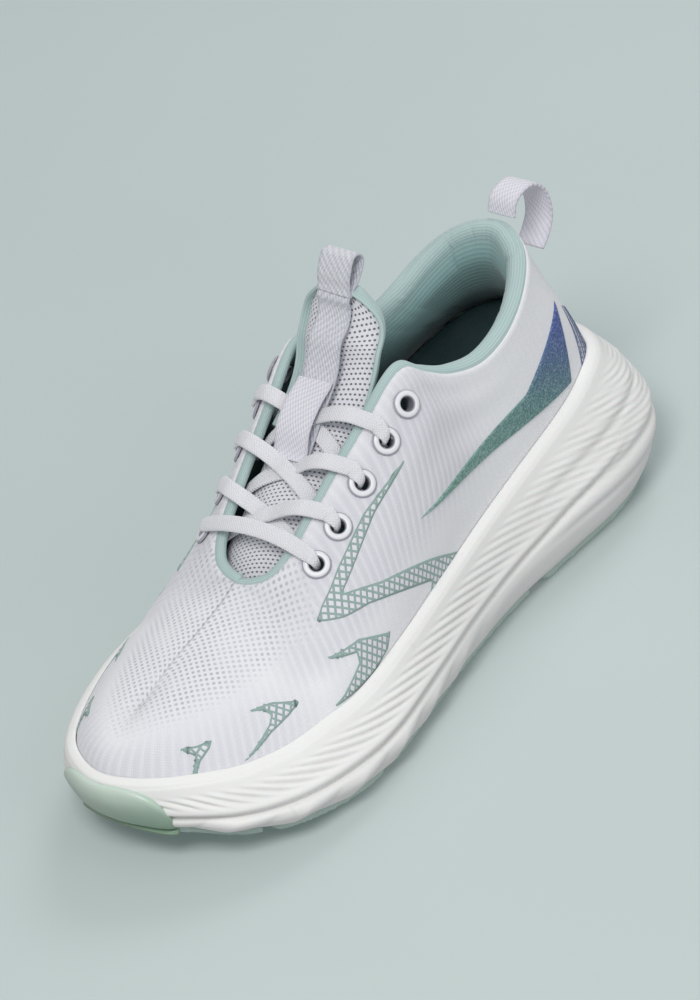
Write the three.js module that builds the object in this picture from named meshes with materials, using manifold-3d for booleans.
// Running shoe, left foot, cushioned road trainer, in millimetres.
// +X to the toe, +Y to the outer (lateral) side, +Z up, sole standing on z = 0.
// The shapes are laid out in shoe coordinates (x = 0 near the back of the heel) and moved at the
// end so that the middle of the whole shoe's footprint is the origin.
import * as THREE from "three";
import { mergeVertices } from "three/addons/utils/BufferGeometryUtils.js";
import Module from "manifold-3d";

const wasm = await Module();
wasm.setup();

// ---------------------------------------------------------------- driving dimensions
const FOOTPRINT_MIDDLE = [131.09, 3.1303]; // x, y in shoe coordinates
const KNIT_T = 1.8;
const GAP = 0.3; // between laminated layers
const COUNTER_T = 1.0;
const PUFF_T = 0.8;
const LINING_IN = 3.5; // depth of the lining's outer face below the knit's outer face
const LINING_T = 1.0;
const COLLAR_PAD = 6.0; // extra thickness of the padded collar
const BOARD_T = 1.2; // strobel board
const SOCK_T = 4.6; // removable sockliner
const RUBBER_T = 2.6;
const FOAM_LIFT = 3.0; // foam underside above the ground line
const RIM_GAP = 0.65; // foam rim clear of the knit
const FLEX_X = 190; // forefoot flex line
const FLEX_Z = 22;
const FLEX_DEG = 25;
const EYELET_HOLE_R = 2.5;
const EYELET_BARREL_R = 3.2;
const EYELET_FLANGE_R = 4.4;
const EYELET_FROM_EDGE = 9.5;
const LACE_W = 5.4;
const LACE_T = 1.6;
const LACE_ABOVE = 2.45; // height of the lace over the knit's outer face
const LACE_BELOW = -6.1; // and where it runs inside
const AGLET_LENGTH = 14;
const TONGUE_DEPTH = 7.4; // tongue's outer face below the line of the quarters
const TONGUE_SKIN = 1.2;
const TONGUE_FOAM = 3.6;
const TONGUE_LINING = 0.8;
const TONGUE_LEAN = 38; // degrees the free top stands up from the line of the throat
const TONGUE_HINGE = [118.08, 98.77]; // x, z of the axis it leans about
const BINDING_W = 5.6;
const STRAP_W = 13;
const STRAP_T = 1.2;

// ---------------------------------------------------------------- materials
const WHITE = 0xeeeef2;
const MINT = 0xb9c8c2;
const TEAL = 0x86aaa9;
const STIFFENER = 0xd9d9d6;
const PADDING = 0xe6e4dc;
const LACE_WHITE = 0xf4f4f6;
const MATERIALS = {
  knit: { color: WHITE, roughness: 0.85 },
  counter: { color: STIFFENER, roughness: 0.5 },
  puff: { color: STIFFENER, roughness: 0.6 },
  collarFoam: { color: PADDING, roughness: 0.9 },
  lining: { color: TEAL, roughness: 0.95 },
  vampLining: { color: 0xdadfe0, roughness: 0.95 },
  eyestay: { color: 0xe8e8ec, roughness: 0.6 },
  trim: { color: TEAL, roughness: 0.8 },
  eyelet: { color: 0xf2f2f5, roughness: 0.35 },
  midsole: { color: 0xf0efea, roughness: 0.6 },
  strobel: { color: 0xd8d2c4, roughness: 0.9 },
  sockliner: { color: 0x5d7f82, roughness: 0.95 },
  rubber: { color: MINT, roughness: 0.75 },
  toeRubber: { color: MINT, roughness: 0.7 },
  tongueMesh: { color: 0xe4e4ea, roughness: 0.9 },
  tongueFoam: { color: PADDING, roughness: 0.95 },
  webbing: { color: 0xc9cad6, roughness: 0.8 },
  lace: { color: LACE_WHITE, roughness: 0.85 },
  aglet: { color: LACE_WHITE, roughness: 0.3 },
  heelStrap: { color: 0xf1f1f5, roughness: 0.8 },
  panel: { color: 0x6f8fa8, roughness: 0.6 },
};

// ---------------------------------------------------------------- vectors and curves
const SIDEWAYS = [0, 1, 0];
const add = (first, second) => first.map((value, i) => value + second[i]);
const sub = (first, second) => first.map((value, i) => value - second[i]);
const scale = (vector, factor) => vector.map((value) => value * factor);
const move = (point, direction, distance) => add(point, scale(direction, distance));
const dot = (first, second) => first.reduce((sum, value, i) => sum + value * second[i], 0);
const cross = ([x, y, z], [u, v, w]) => [y * w - z * v, z * u - x * w, x * v - y * u];
const size = (vector) => Math.hypot(...vector);
const unit = (vector) => scale(vector, 1 / (size(vector) || 1));
const mix = (from, to, t) => from.map((value, i) => value + (to[i] - value) * t);
const clamp = (x, low, high) => Math.min(high, Math.max(low, x));
// the vector, turned round if it points down the given axis
const facing = (vector, axis) => (vector[axis] < 0 ? scale(vector, -1) : vector);
// from the neighbour before to the neighbour after, stopping at the ends
const chord = (points, i) =>
  sub(points[Math.min(points.length - 1, i + 1)], points[Math.max(0, i - 1)]);
const columnOf = (rows, c) => rows.map((row) => row[c]);

function smooth(low, high, x) {
  const t = clamp((x - low) / (high - low), 0, 1);
  return t * t * (3 - 2 * t);
}

function bezier(start, handleA, handleB, end, t) {
  const w = 1 - t;
  const weights = [w * w * w, 3 * t * w * w, 3 * t * t * w, t * t * t];
  const points = [start, handleA, handleB, end];
  return start.map((_, axis) => dot(weights, columnOf(points, axis)));
}

// Catmull-Rom through rows, open or closed
function spline(rows, at, closed = false) {
  const count = rows.length;
  const t = closed ? at : clamp(at, 0, count - 1);
  const i = closed ? Math.floor(t) : Math.min(Math.floor(t), count - 2);
  const f = t - i;
  const row = (n) => {
    if (closed) return rows[((n % count) + count) % count];
    if (n < 0) return sub(scale(rows[0], 2), rows[1]);
    if (n > count - 1) return sub(scale(rows[count - 1], 2), rows[count - 2]);
    return rows[n];
  };
  const [before, from, to, after] = [row(i - 1), row(i), row(i + 1), row(i + 2)];
  return from.map((value, c) => {
    const linear = to[c] - before[c];
    const square = 2 * before[c] - 5 * value + 4 * to[c] - after[c];
    const cube = 3 * value - before[c] - 3 * to[c] + after[c];
    return 0.5 * (2 * value + linear * f + square * f * f + cube * f * f * f);
  });
}

// monotone cubic through a table of [x, value, ...]: a number, or an array for several values
function lookUp(table, at) {
  const last = table.length - 1;
  const x = clamp(at, table[0][0], table[last][0]);
  let i = 0;
  while (i < last - 1 && x >= table[i + 1][0]) i++;
  const step = (n) => table[n + 1][0] - table[n][0];
  const f = (x - table[i][0]) / step(i);
  const values = [];
  for (let c = 1; c < table[0].length; c++) {
    const slope = (n) => (table[n + 1][c] - table[n][c]) / step(n);
    const tangent = (n) => {
      if (n === 0) return slope(0);
      if (n === last) return slope(last - 1);
      if (slope(n - 1) * slope(n) <= 0) return 0;
      const before = 2 * step(n) + step(n - 1);
      const after = step(n) + 2 * step(n - 1);
      return (before + after) / (before / slope(n - 1) + after / slope(n));
    };
    values.push(
      (1 + 2 * f) * (1 - f) ** 2 * table[i][c] +
      f * (1 - f) ** 2 * step(i) * tangent(i) +
      f * f * (3 - 2 * f) * table[i + 1][c] +
      f * f * (f - 1) * step(i) * tangent(i + 1),
    );
  }
  return values.length === 1 ? values[0] : values;
}

// ---------------------------------------------------------------- the upper's surface
// A place on the upper is a station round the foot and a rise, 0 at the feather line to 1 at
// the top line. Stations: 0 at the heel, 1..13 lateral, 14 toe tip, 15..27 medial.
const STATIONS = 28;
const TOE = 14;
const THROAT_BOTTOM = 9; // station whose top is the bottom of the throat
const SIDES = ["lateral", "medial"]; // a side is its index here

// feather line in plan, x, y by station
const FEATHER = [
  [8, 0], [11, 14], [22, 25], [42, 31], [70, 33.5], [100, 36], [130, 41], [160, 46.5], [186, 50],
  [208, 50], [228, 46.5], [244, 39.5], [255, 28], [262, 15], [265, 2], [261.5, -10], [254, -21],
  [240, -31], [222, -39.5], [202, -44], [178, -43], [152, -36.5], [124, -31.5], [96, -30],
  [68, -30.5], [42, -29], [22, -23.5], [11, -13],
];
// x, z of the foot bed
const BED = [
  [0, 34], [40, 31], [100, 27], [150, 23], [190, 20.5], [215, 21.5], [240, 24.5], [262, 29],
  [270, 31],
];
// top line x, y, z from the heel peak along the collar to the lace corner and down the throat
const TOP_LATERAL = [
  [23, 0, 103.5], [25, 9, 102.5], [31, 17.5, 98], [43, 23.5, 91], [58, 27, 85.5], [74, 28, 84],
  [88, 26.5, 88], [98, 24.5, 95], [105, 22.5, 101], [114, 21.5, 99.5], [128, 20.5, 91.5],
  [144, 19, 82.5], [160, 18, 73.5], [173, 16.5, 65.5], [181.5, 11, 59.5], [185, 0, 57.5],
];
const TOP_MEDIAL = [
  [23, 0, 103.5], [25.5, -10, 102.5], [32, -19.5, 99], [43, -25.5, 94], [58, -28.5, 88.5],
  [74, -29.5, 86.5], [88, -29, 90], [98, -28, 96.5], [106, -27.5, 101.5], [115, -26.5, 99.5],
  [129, -24, 91.5], [145, -21.5, 82.5], [161, -19, 73.5], [174, -16.5, 65.5], [182, -11, 60],
  [185, 0, 57.5],
];
// each side runs on into the other at the heel and at the bottom of the throat
const TOP_LINES = [
  [TOP_MEDIAL[1], ...TOP_LATERAL, TOP_MEDIAL[14]],
  [TOP_LATERAL[1], ...TOP_MEDIAL, TOP_LATERAL[14]],
];
// x, y, z from the bottom of the throat to the toe
const RIDGE = [
  [185, 0, 57.5], [199, 0, 53.5], [212, 0, 51], [223, 0, 48.5], [232, 0, 46], [239, 0, 43.5],
];
// stations from the heel, place along the top line
const TOP_PLACES = [
  [0, 0], [1, 0.9], [2, 2.0], [3, 3.5], [4, 5.2], [5, 7.0], [6, 9.2], [7, 11.3], [8, 13.2],
  [9, 15],
];
// stations from the heel; section handles outward and up at the feather line, outward and down
// at the top line
const HANDLES = [
  [0, 3, 26, 1.5, 22], [2, 4, 24, 3, 20], [4, 4, 18, 3.5, 16], [6, 3.5, 20, 13, 13],
  [8, 3.5, 18, 17, 7], [9, 3.5, 15, 22, 2], [11, 4, 12, 20, 0.6], [13, 4, 10, 16, 0.3],
  [14, 3.5, 9, 14, 0.2],
];

const bed = (x) => lookUp(BED, x);
const wrap = (station) => ((station % STATIONS) + STATIONS) % STATIONS;
const mirror = (station) => STATIONS - station;
const onSide = (side, station) => (side ? mirror(station) : station);

// stations from the heel, on either side
function fromHeel(station) {
  const wrapped = wrap(station);
  return wrapped <= TOE ? wrapped : mirror(wrapped);
}

// plan point at a distance outside the feather line, at z = 0
function planPoint(station, reach) {
  const point = spline(FEATHER, station, true);
  const before = spline(FEATHER, station - 0.03, true);
  const tangent = unit(sub(spline(FEATHER, station + 0.03, true), before));
  return [point[0] - tangent[1] * reach, point[1] + tangent[0] * reach, 0];
}
const outward = (station) => sub(planPoint(station, 1), planPoint(station, 0));

function topPoint(station) {
  const heelward = fromHeel(station);
  if (heelward <= THROAT_BOTTOM) {
    const line = TOP_LINES[wrap(station) <= TOE ? 0 : 1];
    return spline(line, lookUp(TOP_PLACES, heelward) + 1);
  }
  return spline(RIDGE, ((heelward - THROAT_BOTTOM) / (TOE - THROAT_BOTTOM)) * 5);
}

// outer face of the knit
function skin(station, rise) {
  const plan = planPoint(station, 0);
  const out = outward(station);
  const foot = [plan[0], plan[1], bed(plan[0])];
  const top = topPoint(station);
  const [footOut, footUp, topOut, topDown] = lookUp(HANDLES, fromHeel(station));
  const footHandle = add(move(foot, out, footOut), [0, 0, footUp]);
  const topHandle = add(move(top, out, topOut), [0, 0, -topDown]);
  return bezier(foot, footHandle, topHandle, top, rise);
}

function skinNormal(station, rise) {
  const oneSided = (at) => {
    const upward = sub(skin(at, Math.min(1, rise + 0.01)), skin(at, Math.max(0, rise - 0.01)));
    return unit(cross(upward, sub(skin(at + 0.05, rise), skin(at - 0.05, rise))));
  };
  // the two sides share their points along the ridge
  const heelward = fromHeel(station);
  if (rise > 0.999 && heelward > THROAT_BOTTOM) {
    return unit(add(oneSided(heelward), oneSided(mirror(heelward))));
  }
  return oneSided(station);
}
const offSkin = (station, rise, distance) =>
  move(skin(station, rise), skinNormal(station, rise), distance);
// direction up the surface where it meets the top line
const topRise = (station) => unit(sub(skin(station, 1), skin(station, 0.97)));

// ---------------------------------------------------------------- solids
const COLUMNS = 56; // round the shoe, half a station each
const RISES = [0, 0.15, 0.32, 0.5, 0.68, 0.85, 1];
const TOP_ROW = RISES.length - 1;
const COLUMN_STATIONS = Array.from({ length: COLUMNS }, (_, i) => i / 2);

function toSolid(vertProperties, triVerts) {
  return new wasm.Manifold(new wasm.Mesh({ numProp: 3, vertProperties, triVerts }));
}
const solid = (verts, tris) =>
  toSolid(new Float32Array(verts.flat()), new Uint32Array(tris.flat()));

// closed solid from a sheet of triangles with an outer and an inner point for each vertex
function thicken(outer, inner, tris) {
  const count = outer.length;
  const open = new Set();
  const all = [];
  for (const [a, b, c] of tris) {
    all.push([a, b, c], [a + count, c + count, b + count]);
    for (const [from, to] of [[a, b], [b, c], [c, a]]) {
      if (open.has(to + "_" + from)) open.delete(to + "_" + from);
      else open.add(from + "_" + to);
    }
  }
  for (const edge of open) {
    const [from, to] = edge.split("_").map(Number);
    all.push([to, from, from + count], [to, from + count, to + count]);
  }
  return solid([...outer, ...inner], all);
}

// layer of the upper over the picked cells; offsets from the skin are numbers or functions of
// station and rise
function layer(pick, outerOffset, innerOffset) {
  const ids = new Map();
  const outer = [];
  const inner = [];
  const tris = [];
  const point = (offset, station, rise) =>
    offSkin(station, rise, typeof offset === "function" ? offset(station, rise) : offset);
  const vertex = (column, row) => {
    let i = column % COLUMNS;
    // both sides use the same vertices along the ridge
    const onRidge = i > 2 * THROAT_BOTTOM - 1 && i < COLUMNS - 2 * THROAT_BOTTOM + 1;
    if (row === TOP_ROW && onRidge) i = Math.min(i, COLUMNS - i);
    const key = i + "_" + row;
    if (!ids.has(key)) {
      ids.set(key, outer.length);
      outer.push(point(outerOffset, COLUMN_STATIONS[i], RISES[row]));
      inner.push(point(innerOffset, COLUMN_STATIONS[i], RISES[row]));
    }
    return ids.get(key);
  };
  for (let i = 0; i < COLUMNS; i++) {
    for (let j = 0; j < TOP_ROW; j++) {
      if (!pick(i, j)) continue;
      const here = vertex(i, j);
      const next = vertex(i + 1, j);
      const nextUp = vertex(i + 1, j + 1);
      const up = vertex(i, j + 1);
      if ((i < COLUMNS / 2) === (j % 2 === 0)) tris.push([here, nextUp, next], [here, up, nextUp]);
      else tris.push([here, up, next], [next, up, nextUp]);
    }
  }
  return thicken(outer, inner, tris);
}

// solid between two grids of points; faces out when rows go up and columns go to the right
function sheet(outer, inner) {
  const width = outer[0].length;
  const tris = [];
  for (let r = 0; r < outer.length - 1; r++) {
    for (let c = 0; c < width - 1; c++) {
      const here = r * width + c;
      const opposite = here + width + 1;
      tris.push([here, here + 1, opposite], [here, opposite, here + width]);
    }
  }
  return thicken(outer.flat(), inner.flat(), tris);
}

// closes a ring of columns by strips across from the lateral to the medial side
function capRing(ring, divisions, place, verts, tris, up) {
  const strips = [];
  for (let i = 0; i <= COLUMNS / 2; i++) {
    const lateral = ring[i];
    const medial = ring[(COLUMNS - i) % COLUMNS];
    const strip = [lateral];
    if (lateral !== medial) {
      for (let m = 1; m < divisions; m++) {
        strip.push(verts.length);
        verts.push(place(mix(verts[lateral], verts[medial], m / divisions)));
      }
      strip.push(medial);
    }
    strips.push(strip);
  }
  const put3 = (a, b, c) => tris.push(up ? [a, b, c] : [a, c, b]);
  for (let i = 0; i < COLUMNS / 2; i++) {
    const here = strips[i];
    const next = strips[i + 1];
    for (let m = 0; m < divisions; m++) {
      if (here.length === 1) put3(here[0], next[m + 1], next[m]);
      else if (next.length === 1) put3(here[m], here[m + 1], next[0]);
      else {
        put3(here[m], next[m + 1], next[m]);
        put3(here[m], here[m + 1], next[m + 1]);
      }
    }
  }
}

// closed solid from stacked rings; placeLow and placeHigh set the points inside its two caps
function rings(rows, divisions, placeLow, placeHigh) {
  const verts = [];
  const tris = [];
  const ids = rows.map((row) => row.map((point) => verts.push(point) - 1));
  for (let r = 0; r < rows.length - 1; r++) {
    for (let i = 0; i < COLUMNS; i++) {
      const next = (i + 1) % COLUMNS;
      const here = ids[r][i];
      const nextUp = ids[r + 1][next];
      tris.push([here, nextUp, ids[r][next]], [here, ids[r + 1][i], nextUp]);
    }
  }
  capRing(ids[0], divisions, placeLow, verts, tris, false);
  capRing(ids[rows.length - 1], divisions, placeHigh, verts, tris, true);
  return solid(verts, tris);
}

// sets a point's z by a height along x
const drape = (height) => ([x, y]) => [x, y, height(x)];

// board that follows two heights along x; reach is its edge outside the feather line
function board(reach, lowHeight, highHeight, divisions) {
  const outline = COLUMN_STATIONS.map((station) => planPoint(station, reach(station)));
  const low = drape(lowHeight);
  const high = drape(highHeight);
  return rings([outline.map(low), outline.map(high)], divisions, low, high);
}

function fromGeometry(source, matrix) {
  source.deleteAttribute("normal");
  source.deleteAttribute("uv");
  source.applyMatrix4(matrix);
  const merged = mergeVertices(source, 1e-4);
  return toSolid(merged.attributes.position.array, new Uint32Array(merged.index.array));
}

const toVectors = (points) => points.map(([x, y]) => new THREE.Vector2(x, y));
const extrude = (shape, depth) =>
  new THREE.ExtrudeGeometry(shape, { depth, bevelEnabled: false });
const quarterTurnX = () => new THREE.Matrix4().makeRotationX(Math.PI / 2);

// frame from its x, y and z axes
const frame = (axes, origin) =>
  new THREE.Matrix4()
    .makeBasis(...axes.map((axis) => new THREE.Vector3(...axis)))
    .setPosition(...origin);

// solid of revolution about Y, set at a point with its axis along another direction
function standAt(source, point, axis, aside) {
  const zAxis = unit(axis);
  const xAxis = unit(sub(aside, scale(zAxis, dot(aside, zAxis))));
  const matrix = frame([xAxis, cross(zAxis, xAxis), zAxis], point);
  return fromGeometry(source, matrix.multiply(quarterTurnX()));
}

// flat section swept along points; its corners are in half widths and half thicknesses
const RECTANGLE = [[-1, -1], [1, -1], [1, 1], [-1, 1]];
const HEXAGON = Array.from({ length: 6 }, (_, i) => {
  const angle = (2 * Math.PI * i) / 6;
  return [Math.cos(angle), Math.sin(angle)];
});
function sweep(points, across, width, thickness, corners = RECTANGLE) {
  const sides = corners.length;
  const last = points.length - 1;
  const verts = [];
  const tris = [];
  points.forEach((point, i) => {
    const tangent = unit(chord(points, i));
    const wide = unit(sub(across[i], scale(tangent, dot(across[i], tangent))));
    const thick = cross(tangent, wide);
    const halfWidth = (typeof width === "number" ? width : width[i]) / 2;
    for (const [u, v] of corners) {
      verts.push(move(move(point, wide, u * halfWidth), thick, (v * thickness) / 2));
    }
  });
  const at = (i, corner) => i * sides + (corner % sides);
  for (let i = 0; i < last; i++) {
    for (let s = 0; s < sides; s++) {
      const opposite = at(i + 1, s + 1);
      tris.push([at(i, s), at(i, s + 1), opposite], [at(i, s), opposite, at(i + 1, s)]);
    }
  }
  for (let s = 1; s < sides - 1; s++) {
    tris.push([at(0, 0), at(0, s + 1), at(0, s)], [at(last, 0), at(last, s), at(last, s + 1)]);
  }
  return solid(verts, tris);
}
// strip that lies level from side to side
const strap = (points, width, thickness) =>
  sweep(points, points.map(() => SIDEWAYS), width, thickness);

// ---------------------------------------------------------------- flex line
// The rear keeps a square front face; the forefoot leans away from it above the axis.
function prismAcross(points) {
  const halfWidth = 120;
  const matrix = new THREE.Matrix4().makeTranslation(0, halfWidth, 0).multiply(quarterTurnX());
  return fromGeometry(extrude(new THREE.Shape(toVectors(points)), 2 * halfWidth), matrix);
}
const FLEX_GAP = 0.2; // either side of the line
const FLEX_LEAN = (200 - FLEX_Z) * Math.tan((FLEX_DEG * Math.PI) / 180); // at z = 200
const AHEAD_OF_FLEX = prismAcross([
  [FLEX_X - FLEX_GAP, -10], [400, -10], [400, 200], [FLEX_X - FLEX_GAP, 200],
]);
const BEHIND_FLEX = prismAcross([
  [-100, -10], [FLEX_X + FLEX_GAP, -10], [FLEX_X + FLEX_GAP, FLEX_Z - 1],
  [FLEX_X + 0.5 + FLEX_LEAN, 200], [-100, 200],
]);
const rearOf = (whole) => whole.subtract(AHEAD_OF_FLEX);
const foreOf = (whole) => whole.subtract(BEHIND_FLEX);

// ---------------------------------------------------------------- scene
const shoe = new THREE.Group();
shoe.name = "running_shoe_left";
const placed = new THREE.Group();
placed.position.set(-FOOTPRINT_MIDDLE[0], -FOOTPRINT_MIDDLE[1], 0);
shoe.add(placed);

function put(name, piece, material) {
  const { vertProperties, triVerts } = piece.getMesh();
  const geometry = new THREE.BufferGeometry();
  geometry.setAttribute("position", new THREE.Float32BufferAttribute(vertProperties, 3));
  geometry.setIndex(new THREE.Uint32BufferAttribute(triVerts, 1));
  geometry.computeVertexNormals();
  const mesh = new THREE.Mesh(geometry, new THREE.MeshStandardMaterial(material));
  mesh.name = name;
  placed.add(mesh);
}
function putSplit(name, whole, material) {
  put(name + "_rear", rearOf(whole), material);
  put(name + "_fore", foreOf(whole), material);
}

// ---------------------------------------------------------------- eyelet places
const EYELET_PLACES = [12.75, 11.8, 10.85, 9.9, 8.95]; // along the top line, bottom to top

// station whose top is at a place along the top line
function stationAtPlace(place) {
  let low = 0;
  let high = THROAT_BOTTOM;
  for (let n = 0; n < 40; n++) {
    const middle = (low + high) / 2;
    if (lookUp(TOP_PLACES, middle) < place) low = middle;
    else high = middle;
  }
  return (low + high) / 2;
}

// rise at a distance down the surface from the top line
function riseBelowTop(station, distance) {
  let rise = 1;
  let travelled = 0;
  let point = skin(station, 1);
  while (travelled < distance && rise > 0) {
    rise -= 0.002;
    const next = skin(station, rise);
    travelled += size(sub(next, point));
    point = next;
  }
  return rise;
}

function eyeletAt(side, place) {
  const station = onSide(side, stationAtPlace(place));
  const rise = riseBelowTop(station, EYELET_FROM_EDGE);
  const top = (at) => topPoint(onSide(side, stationAtPlace(at)));
  return {
    station,
    rise,
    point: skin(station, rise),
    normal: skinNormal(station, rise),
    up: unit(sub(top(place - 0.5), top(place + 0.5))), // up the throat
  };
}
// by side, then bottom to top
const eyelets = SIDES.map((_, side) => EYELET_PLACES.map((place) => eyeletAt(side, place)));
const holes = eyelets
  .flat()
  .map(({ point, normal, up }) => {
    const radius = EYELET_BARREL_R + 0.35;
    return standAt(new THREE.CylinderGeometry(radius, radius, 24, 9), point, normal, up);
  })
  .reduce((all, hole) => all.add(hole));

// ---------------------------------------------------------------- upper
const BEHIND_KNIT = -KNIT_T - GAP;
const BEFORE_LINING = -LINING_IN + GAP;
const everywhere = () => true;
const cellsFromHeel = (column) => Math.min(column, COLUMNS - 1 - column);

// extra depth of the padded collar
function padDepth(station, rise) {
  const thinTop = 1 - 0.75 * smooth(0.9, 1, rise);
  const fadeForward = 1 - smooth(4.6, 5.8, fromHeel(station));
  return COLLAR_PAD * smooth(0.42, 0.72, rise) * thinTop * fadeForward;
}

function heelCounter() {
  const pick = (column, row) => cellsFromHeel(column) < 6 && row < 3;
  return layer(pick, BEHIND_KNIT, BEHIND_KNIT - COUNTER_T);
}

function toePuff() {
  const pick = (column, row) => cellsFromHeel(column) >= 22 && row < 4;
  return foreOf(layer(pick, BEHIND_KNIT, BEHIND_KNIT - PUFF_T));
}

function collarFoam() {
  const foot = RISES[3];
  return layer(
    (column, row) => cellsFromHeel(column) < 10 && row >= 3,
    (_, rise) => BEHIND_KNIT - 1.4 * (1 - smooth(foot, foot + 0.1, rise)),
    (station, rise) => BEFORE_LINING - padDepth(station, rise),
  );
}

function liningLayer() {
  const outer = (station, rise) => -LINING_IN - padDepth(station, rise);
  const inner = (station, rise) => outer(station, rise) - LINING_T;
  return layer(everywhere, outer, inner).subtract(holes);
}

function eyestay(side) {
  const pick = (column, row) => {
    const cells = cellsFromHeel(column);
    return (column < COLUMNS / 2) === (side === 0) && cells >= 11 && cells < 17 && row >= 4;
  };
  return rearOf(layer(pick, BEHIND_KNIT, BEFORE_LINING).subtract(holes));
}

// edge piping that rolls over the top line, from low on one side of the throat round the heel
// to the same place on the other
function collarPiping() {
  const points = [];
  const across = [];
  for (let q = -16; q <= 16; q++) {
    const station = (q / 16) * 8.2;
    const depth = padDepth(station, 1) + LINING_IN + LINING_T;
    points.push(move(offSkin(station, 1, -depth / 2 + 0.1), topRise(station), 2.7));
    across.push(skinNormal(station, 1));
  }
  return sweep(points, across, 3.8, 2.8, HEXAGON);
}

// flanged ring
function eyelet({ point, normal, up }) {
  const bottom = -4.7;
  const flangeLow = 0.35;
  const flangeHigh = 1.05;
  const profile = [
    [EYELET_HOLE_R, bottom], [EYELET_BARREL_R, bottom], [EYELET_BARREL_R, flangeLow],
    [EYELET_FLANGE_R, flangeLow], [EYELET_FLANGE_R - 0.4, flangeHigh],
    [EYELET_HOLE_R, flangeHigh], [EYELET_HOLE_R, bottom],
  ];
  return standAt(new THREE.LatheGeometry(toVectors(profile), 9), point, normal, up);
}

putSplit("knit_upper", layer(everywhere, 0, -KNIT_T).subtract(holes), MATERIALS.knit);
put("heel_counter", heelCounter(), MATERIALS.counter);
put("toe_puff", toePuff(), MATERIALS.puff);
put("collar_foam", collarFoam(), MATERIALS.collarFoam);
const lining = liningLayer();
put("lining_rear", rearOf(lining), MATERIALS.lining);
put("lining_vamp", foreOf(lining), MATERIALS.vampLining);
SIDES.forEach((name, side) => put("eyestay_" + name, eyestay(side), MATERIALS.eyestay));
put("collar_piping", collarPiping(), MATERIALS.trim);
SIDES.forEach((name, side) => {
  eyelets[side].forEach((place, i) => {
    put(`eyelet_${name}_${i + 1}`, eyelet(place), MATERIALS.eyelet);
  });
});

// ---------------------------------------------------------------- sole unit
// x, z of the ground line and of the foam's rim
const GROUND = [
  [-12, 9], [5, 3.5], [20, 0.8], [35, 0], [190, 0], [210, 1.2], [230, 4], [248, 8], [260, 12],
  [270, 16],
];
const RIM = [
  [-12, 52], [4, 52], [20, 53], [40, 50], [70, 45], [100, 40], [135, 36], [170, 32], [196, 30],
  [220, 30], [240, 31.5], [255, 33.5], [270, 34.5],
];
// stations from the heel, then the reach outside the feather line of the foam's widest line and
// of its bottom edge, and the height of the widest line
const WIDE_REACH = [[0, 17.5], [1.5, 15], [3, 11], [4.5, 8.5], [9, 8], [12, 4.5], [14, 1.8]];
const BOTTOM_REACH = [[0, 9], [2, 8], [4, 5.5], [6, 4.5], [9, 4.5], [12, 1], [14, -3]];
const WIDE_Z = [[0, 22], [3, 20], [6, 13], [9, 12], [12, 12], [14, 11]];
const ground = (x) => lookUp(GROUND, x);
const onFoamUnderside = drape((x) => ground(x) + FOAM_LIFT);
const onFoamSeat = drape((x) => bed(x) - BOARD_T - 3 * GAP);

// foam section at a station: up the outside, over the rim and down the inside
function foamSection(station) {
  const heelward = fromHeel(station);
  const out = unit(outward(station));
  const rimZ = lookUp(RIM, planPoint(station, 3)[0]);
  let rise = 0;
  while (skin(station, rise)[2] < rimZ - 0.4 && rise < 0.6) rise += 0.004;
  const lip = offSkin(station, rise, RIM_GAP);
  const rim = add(move(lip, out, 3.4), [0, 0, -0.8]);
  const widePlan = planPoint(station, lookUp(WIDE_REACH, heelward));
  const wideZ = ground(widePlan[0]) * 0.6 + lookUp(WIDE_Z, heelward);
  const wide = [widePlan[0], widePlan[1], wideZ];
  const bottom = onFoamUnderside(planPoint(station, lookUp(BOTTOM_REACH, heelward)));
  const [lowX, lowY] = mix(bottom, wide, 0.62);
  const low = [lowX, lowY, bottom[2] + (wideZ - bottom[2]) * 0.36];
  const high = move(mix(wide, rim, 0.55), out, 1.6);
  const inside = offSkin(station, rise / 2, RIM_GAP);
  return [bottom, low, wide, high, rim, lip, inside, onFoamSeat(planPoint(station, 0.7))];
}
const foamSections = COLUMN_STATIONS.map(foamSection);
const foamRows = foamSections[0].map((_, r) => columnOf(foamSections, r));
putSplit("midsole", rings(foamRows, 3, onFoamUnderside, onFoamSeat), MATERIALS.midsole);

const strobel = board(() => -0.4, (x) => bed(x) - BOARD_T - GAP, (x) => bed(x) - GAP, 2);
putSplit("strobel_board", strobel, MATERIALS.strobel);
const sockliner = board(() => -5.6, (x) => bed(x) + 0.1, (x) => bed(x) + 0.1 + SOCK_T, 2);
putSplit("sockliner", sockliner, MATERIALS.sockliner);

// ---------------------------------------------------------------- outsole
// one sheet of rubber under the foam, cut into pods by outlines in plan (x, y)
function treadReach(station) {
  const heelward = fromHeel(station);
  return lookUp(BOTTOM_REACH, heelward) - 0.8 + 2.2 * smooth(11.9, 12.6, heelward);
}
const tread = board(treadReach, ground, (x) => ground(x) + RUBBER_T, 3);
const PODS = {
  heel_lateral: [[-6, 9], [6, 3], [24, 6], [44, 9], [80, 10], [84, 18], [80, 70], [-6, 70]],
  heel_medial: [
    [-20, -70], [-20, 5], [4, -1], [24, -4], [46, -7], [74, -9], [78, -16], [74, -70],
  ],
  midfoot_lateral: [[88, 70], [92, 18], [96, 12], [136, 15], [140, 20], [137, 70]],
  ball_lateral: [[142, 70], [145, 20], [150, 12], [186.5, 11], [187.5, 16], [187.5, 70]],
  ball_medial: [[132, -70], [136, -18], [142, -10], [186.5, -9], [187.5, -14], [187.5, -70]],
  front_lateral: [[192.5, 70], [192.5, 14], [194, 10], [234, 5], [237, 9], [240, 70]],
  front_medial: [[192.5, -70], [192.5, -12], [194, -9], [235, -5], [238, -9], [240, -70]],
};
const TOE_POD = [[244, -70], [241, -9], [243, -3], [240, 4], [243, 70], [320, 70], [320, -70]];

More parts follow.
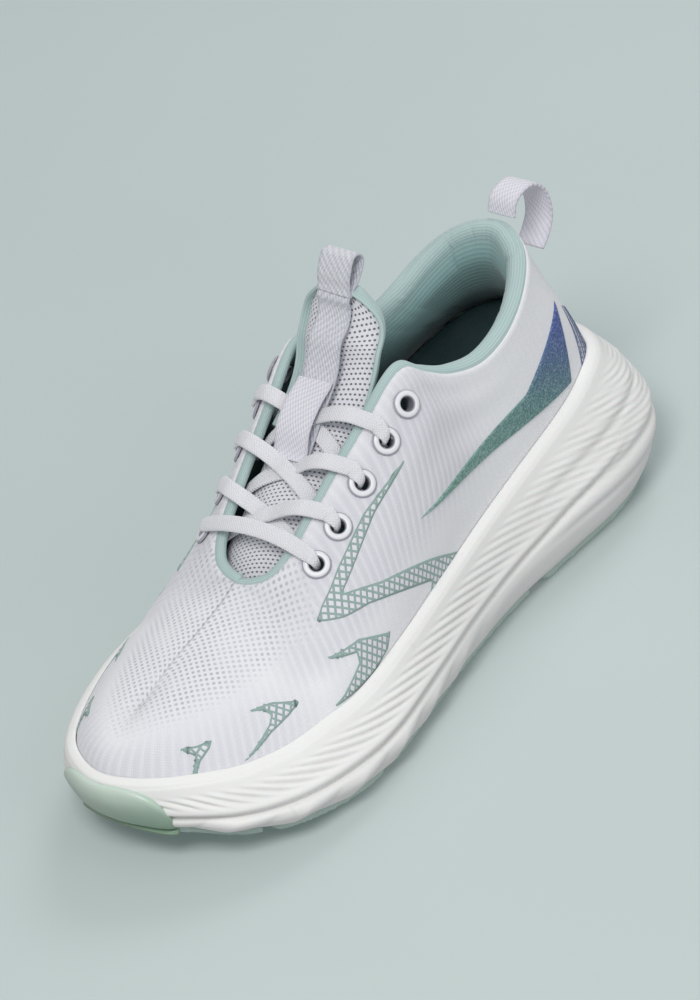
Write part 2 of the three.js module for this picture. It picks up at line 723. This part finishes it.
function treadWithin(outline) {
  const bottom = -5;
  const top = 40;
  const cutter = extrude(new THREE.Shape(toVectors(outline)), top - bottom);
  return tread.intersect(
    fromGeometry(cutter, new THREE.Matrix4().makeTranslation(0, 0, bottom)),
  );
}

// rubber that wraps up over the foam's nose
function toeBumper() {
  const skirt = foamRows[0].map(drape((x) => ground(x) + 0.3));
  const rows = [skirt, ...foamRows.slice(0, 4)];
  const face = (distance) => rows.map((row, r) => {
    const points = [];
    for (let i = 31; i >= 25; i--) {
      const forward = facing(unit(cross(chord(columnOf(rows, i), r), chord(row, i))), 0);
      points.push(move(row[i], forward, distance));
    }
    return points;
  });
  return sheet(face(2.0), face(0.35));
}

for (const [name, outline] of Object.entries(PODS)) {
  put("outsole_" + name, treadWithin(outline), MATERIALS.rubber);
}
put("outsole_toe", treadWithin(TOE_POD).add(toeBumper()), MATERIALS.toeRubber);

// ---------------------------------------------------------------- instep sections
// Arc through both quarters and over the throat at a station on the lateral side: a point by arc
// length, 0 at the middle and positive to the lateral side, and half the throat's width.
function instep(station) {
  const opposite = mirror(station);
  const lateral = skin(station, 1);
  const medial = skin(opposite, 1);
  const width = size(sub(lateral, medial));
  const open = width > 0.5;
  const points = [];
  for (let rise = 0.5; rise < 0.999; rise += 0.03) points.push(skin(opposite, rise));
  if (open) {
    const medialHandle = move(medial, topRise(opposite), width * 0.36);
    const lateralHandle = move(lateral, topRise(station), width * 0.36);
    for (let q = 0; q <= 12; q++) {
      points.push(bezier(medial, medialHandle, lateralHandle, lateral, q / 12));
    }
  } else points.push(medial);
  const middle = points.length - (open ? 7 : 1);
  for (let rise = 0.97; rise > 0.5; rise -= 0.03) points.push(skin(station, rise));
  const lengths = [0];
  for (let i = 1; i < points.length; i++) {
    lengths.push(lengths[i - 1] + size(sub(points[i], points[i - 1])));
  }
  const at = (arc) => {
    const along = arc + lengths[middle];
    let i = 0;
    while (i < lengths.length - 2 && lengths[i + 1] < along) i++;
    const t = (along - lengths[i]) / (lengths[i + 1] - lengths[i]);
    return mix(points[i], points[i + 1], t);
  };
  return { at, half: width / 2 };
}

// ---------------------------------------------------------------- tongue
const SEWN_STATIONS = [9.25, 8.9, 8.4, 7.9, 7.4, 6.9, 6.45, 6.18]; // bottom to the hinge
const FREE_STATIONS = [6.08, 5.75, 5.45]; // free part inside the throat
const TIP_ROWS = [[3, 1], [6, 0.93], [9, 0.74], [11, 0.45]]; // distance beyond it, width share
const FREE_HALF = 20.75; // half width where the free part starts
const FREE_TAPER = 0.4; // lost from it at each station
const MEDIAL_SHIFT = 1.75; // of the free part
const TONGUE_CELLS = 6;
const TONGUE_MIDDLE = TONGUE_CELLS / 2;

function tongueRow(station, lateral, medial) {
  const { at } = instep(station);
  return Array.from({ length: TONGUE_CELLS + 1 }, (_, c) =>
    at(-medial + ((lateral + medial) * c) / TONGUE_CELLS));
}
const freeRow = (station, half) => tongueRow(station, half - MEDIAL_SHIFT, half + MEDIAL_SHIFT);

function freeTongueRows() {
  const rows = FREE_STATIONS.map((station, i) => freeRow(station, FREE_HALF - i * FREE_TAPER));
  const onward = unit(sub(rows[2][TONGUE_MIDDLE], rows[1][TONGUE_MIDDLE]));
  for (const [distance, share] of TIP_ROWS) {
    const direction = unit(add(onward, [0, 0, 0.02 * distance]));
    const row = freeRow(FREE_STATIONS[2], (FREE_HALF - 2 * FREE_TAPER) * share);
    rows.push(row.map((point) => move(point, direction, distance)));
  }
  return rows;
}
const sewnRows = SEWN_STATIONS.map((station, i) =>
  tongueRow(station, 22 + i * 0.35, 22 + i * 0.6));
const freeRows = freeTongueRows();

// grid moved along its upward normals
function offsetRows(rows, distance) {
  return rows.map((row, r) => row.map((point, c) => {
    const normal = unit(cross(chord(row, c), chord(columnOf(rows, c), r)));
    return move(point, facing(normal, 2), distance);
  }));
}

// middle of the tongue's outer face, with its normals
function tongueCentre(rows) {
  const middle = (distance) => columnOf(offsetRows(rows, distance), TONGUE_MIDDLE);
  const points = middle(-TONGUE_DEPTH);
  return { points, normals: middle(-TONGUE_DEPTH + 1).map((point, i) => sub(point, points[i])) };
}

function lean(piece) {
  const [x, z] = TONGUE_HINGE;
  return piece.translate([-x, 0, -z]).rotate([0, TONGUE_LEAN, 0]).translate([x, 0, z]);
}

const FOAM_DEPTH = TONGUE_DEPTH + TONGUE_SKIN + GAP;
// name, depth of the outer face, thickness, material
const TONGUE_LAYERS = [
  ["mesh", TONGUE_DEPTH, TONGUE_SKIN, MATERIALS.tongueMesh],
  ["foam", FOAM_DEPTH, TONGUE_FOAM, MATERIALS.tongueFoam],
  ["lining", FOAM_DEPTH + TONGUE_FOAM + GAP, TONGUE_LINING, MATERIALS.lining],
];
function putTongue(part, rows, rowCount, finish) {
  for (const [name, depth, thickness, material] of TONGUE_LAYERS) {
    const face = (distance) => offsetRows(rows, -distance).slice(0, rowCount);
    const piece = sheet(face(depth), face(depth + thickness));
    put(`tongue_${name}_${part}`, finish(piece), material);
  }
}

// strip round the tongue's free edge
function tongueBinding() {
  const middle = offsetRows(freeRows, -TONGUE_DEPTH - BINDING_W / 2);
  const below = offsetRows(freeRows, -TONGUE_DEPTH - BINDING_W / 2 - 1);
  const last = middle.length - 1;
  const edge = [];
  for (let r = 1; r <= last; r++) edge.push([r, 0]);
  for (let c = 1; c < TONGUE_CELLS; c++) edge.push([last, c]);
  for (let r = last; r >= 1; r--) edge.push([r, TONGUE_CELLS]);
  const border = edge.map(([r, c]) => middle[r][c]);
  const normals = edge.map(([r, c]) => unit(sub(middle[r][c], below[r][c])));
  const points = border.map((point, i) => {
    const out = unit(cross(chord(border, i), normals[i]));
    const inward = dot(out, sub(point, middle[2][TONGUE_MIDDLE])) < 0;
    return move(point, out, inward ? -2.2 : 2.2);
  });
  return lean(sweep(points, normals, BINDING_W, 2.0));
}

const freeCentre = tongueCentre(freeRows);

function tongueWebbing() {
  const { points, normals } = freeCentre;
  const line = points.slice(0, 6).map((point, i) => move(point, normals[i], 1.1));
  return lean(strap(line, STRAP_W, STRAP_T));
}

// folded loop: a flat band standing from the tongue's top edge
function pullLoop() {
  const radius = 2.7;
  const height = 12;
  const outline = (r, foot) => {
    const footHalf = Math.max(0.35, r - 1.7);
    const points = [[-footHalf, foot], [-r, foot + 5]];
    for (let q = 0; q <= 6; q++) {
      const angle = (q / 6) * Math.PI;
      points.push([-r * Math.cos(angle), height - radius + r * Math.sin(angle)]);
    }
    points.push([r, foot + 5], [footHalf, foot]);
    return toVectors(points);
  };
  const shape = new THREE.Shape(outline(radius, 0).reverse());
  shape.holes.push(new THREE.Path(outline(radius - STRAP_T, 1.4)));

  const root = freeCentre.points[5];
  const onward = unit(sub(root, freeCentre.points[3]));
  const tall = unit(add(scale(onward, 0.9), [0, 0, 0.12]));
  const thick = unit(cross(SIDEWAYS, tall));
  const across = cross(thick, tall);
  const foot = move(move(root, onward, 7.3), thick, -1.2);
  const matrix = frame([thick, tall, across], move(foot, across, -STRAP_W / 2));
  return lean(fromGeometry(extrude(shape, STRAP_W), matrix));
}

putTongue("lower", sewnRows, sewnRows.length, rearOf);
putTongue("upper", freeRows, freeRows.length - 1, lean); // the last row only guides the binding
put("tongue_binding", tongueBinding(), MATERIALS.trim);
put("tongue_webbing", tongueWebbing(), MATERIALS.webbing);
put("tongue_pull_loop", pullLoop(), MATERIALS.webbing);

// ---------------------------------------------------------------- lace
// One piece through the lower four eyelets of each side. Its stops are {point, across, width}.
// Through an eyelet from outside to inside: distance toward the throat, height, width
const DIVE_START = [
  [3.4, LACE_ABOVE, 5.0], [1.3, LACE_ABOVE - 0.05, 3.2], [0.25, LACE_ABOVE - 1.0, 3.0],
  [0, -1.5, 3.0],
];
const DIVE = [...DIVE_START, [0, -4.4, 3.0], [0.5, LACE_BELOW + 0.25, 3.6], [1.8, LACE_BELOW, 4.4]];
const LAST_DIVE = [...DIVE_START, [0, -4.3, 3.0]];

function dive({ station, rise, point, normal, up }, stops) {
  const toThroat = unit(sub(skin(station, rise + 0.05), point));
  return stops.map(([inward, height, width]) => ({
    point: move(move(point, toThroat, inward), normal, height),
    across: up,
    width,
  }));
}

// stop over the throat, by arc length and height
function overThroat(station, section, arc, height) {
  const topMiddle = (at) => mix(topPoint(at), topPoint(mirror(at)), 0.5);
  const up = unit(sub(topMiddle(station - 0.3), topMiddle(station + 0.3)));
  const normal = unit(cross(up, sub(section.at(arc + 1), section.at(arc - 1))));
  return { point: move(section.at(arc), facing(normal, 2), height), across: up, width: LACE_W };
}

// from under the throat's edge at one eyelet to on top of the next one up on the other side
function crossing(side, from, to, lift) {
  const start = fromHeel(from.station);
  const end = fromHeel(to.station);
  const sign = side ? -1 : 1;
  const startArc = sign * (instep(start).half + 4.5);
  const endArc = -sign * (instep(end).half + 4.8);
  return Array.from({ length: 10 }, (_, q) => {
    const t = q / 9;
    const station = start + (end - start) * t;
    const climb = (LACE_ABOVE - LACE_BELOW) * smooth(0.15, 0.88, t);
    const arch = lift * Math.sin(Math.PI * clamp((t - 0.12) / 0.76, 0, 1)) ** 2;
    const arc = startArc + (endArc - startArc) * t;
    return overThroat(station, instep(station), arc, LACE_BELOW + climb + arch);
  });
}

// loose end, down the inside of the quarter
const tail = ({ station, rise, up }) =>
  Array.from({ length: 6 }, (_, q) => ({
    point: offSkin(station, rise - 0.02 - q * 0.05, LACE_BELOW - 0.15 - 0.42 * q),
    across: up,
    width: q < 2 ? 3.2 : 4.2,
  }));

// from the bottom eyelet of a side, crossing three times, to the fourth on the other side
function strand(startSide, lift) {
  const stops = dive(eyelets[startSide][0], DIVE);
  let side = startSide;
  for (let i = 0; i < 3; i++) {
    const next = eyelets[1 - side][i + 1];
    stops.push(...crossing(side, eyelets[side][i], next, lift));
    stops.push(...dive(next, i < 2 ? DIVE : LAST_DIVE));
    side = 1 - side;
  }
  return [...stops, ...tail(eyelets[side][3])];
}

// bar between the two bottom eyelets, outside
function bottomBar() {
  const { station } = eyelets[0][0];
  const section = instep(station);
  const reach = section.half + 4.6;
  return [1, 2, 3, 4, 5].map((q) =>
    overThroat(station, section, -reach + 2 * reach * (q / 6), LACE_ABOVE));
}

// hard tip beyond the lace's end
function aglet(end, beforeEnd) {
  const direction = unit(sub(end.point, beforeEnd.point));
  const centre = move(end.point, direction, AGLET_LENGTH / 2 + 0.4);
  const tip = new THREE.CylinderGeometry(1.3, 1.5, AGLET_LENGTH, 8);
  return standAt(tip, centre, direction, end.across);
}

// webbing on the tongue's middle, standing up into a bridge
function laceKeeper() {
  const { points, normals } = tongueCentre(sewnRows);
  // row of the sewn tongue, height above it
  const profile = [
    [4.72, 0.85], [5.1, 0.85], [5.2, 2.0], [5.25, 9.4], [5.4, 10.6], [6.0, 10.7], [6.2, 9.6],
    [6.34, 2.2], [6.45, 1.0], [6.95, 1.0],
  ];
  const line = profile.map(([row, height]) => {
    const i = Math.floor(row);
    return move(mix(points[i], points[i + 1], row - i), normals[i], height);
  });
  return strap(line, STRAP_W, 1.0);
}

const lace = [...strand(1, 1.5).reverse(), ...bottomBar(), ...strand(0, -0.6)];
const laceValues = (key) => lace.map((stop) => stop[key]);
put(
  "lace",
  sweep(laceValues("point"), laceValues("across"), laceValues("width"), LACE_T),
  MATERIALS.lace,
);
// each tip is named for the side its strand starts on
put("aglet_medial", aglet(lace[0], lace[1]), MATERIALS.aglet);
put("aglet_lateral", aglet(lace.at(-1), lace.at(-2)), MATERIALS.aglet);
put("lace_keeper", laceKeeper(), MATERIALS.webbing);

// ---------------------------------------------------------------- heel pull strap
// bowed out behind the collar; x, z
const HEEL_STRAP = [
  [19.5, 109.4], [15, 111.5], [9, 111], [4.2, 106.5], [2.6, 100], [3.6, 93.5], [7.5, 88.5],
  [11.2, 85.6],
];
function heelPullStrap() {
  const line = Array.from({ length: 15 }, (_, q) => {
    const [x, z] = spline(HEEL_STRAP, (q / 14) * 7);
    return [x, 0, z];
  });
  return strap(line, 12, 1.4);
}
put("heel_pull_strap", heelPullStrap(), MATERIALS.heelStrap);

// ---------------------------------------------------------------- printed side panels
// a straight-edged kite on each quarter, laid out in side view (x, z)
const PANEL_REAR = [26.9, 77.6];
const PANEL_UPPER = [61.7, 63.2];
const PANEL_FRONT = [131.2, 59];
const PANEL_LOWER = [37.1, 52.3];

// station and rise where the skin has the given x and z, by Newton steps
function findOnSkin(x, z, side) {
  const step = 1e-3;
  let station = 4;
  let rise = 0.5;
  for (let n = 0; n < 40; n++) {
    const here = skin(onSide(side, station), rise);
    const byStation = scale(sub(skin(onSide(side, station + step), rise), here), 1 / step);
    const byRise = scale(sub(skin(onSide(side, station), rise + step), here), 1 / step);
    const determinant = byStation[0] * byRise[2] - byRise[0] * byStation[2];
    const missX = x - here[0];
    const missZ = z - here[2];
    const stationStep = (missX * byRise[2] - missZ * byRise[0]) / determinant;
    const riseStep = (missZ * byStation[0] - missX * byStation[2]) / determinant;
    station = clamp(station + clamp(stationStep, -0.5, 0.5), 0.3, 9);
    rise = clamp(rise + clamp(riseStep, -0.1, 0.1), 0.02, 0.98);
  }
  return [onSide(side, station), rise];
}

function sidePanel(side) {
  const bend = 0.3; // share of the columns behind the upper and lower corners
  const border = (corner, t) =>
    t < bend
      ? mix(PANEL_REAR, corner, t / bend)
      : mix(corner, PANEL_FRONT, (t - bend) / (1 - bend));
  const places = Array.from({ length: 15 }, (_, q) => {
    const t = 0.012 + 0.976 * (q / 14); // stops short of the two tips
    const upper = border(PANEL_UPPER, t);
    const lower = border(PANEL_LOWER, t);
    return [0, 0.5, 1].map((down) => findOnSkin(...mix(upper, lower, down), side));
  });
  const face = (distance) =>
    places.map((row) => row.map(([station, rise]) => offSkin(station, rise, distance)));
  const outer = face(1.15);
  const inner = face(0.65);
  const panel = sheet(outer, inner);
  if (panel.volume() > 0) return panel;
  // the grid runs the other way round on this side
  const flip = (rows) => rows.map((row) => row.slice().reverse());
  return sheet(flip(outer), flip(inner));
}
SIDES.forEach((name, side) => put("side_panel_" + name, sidePanel(side), MATERIALS.panel));

export default shoe;
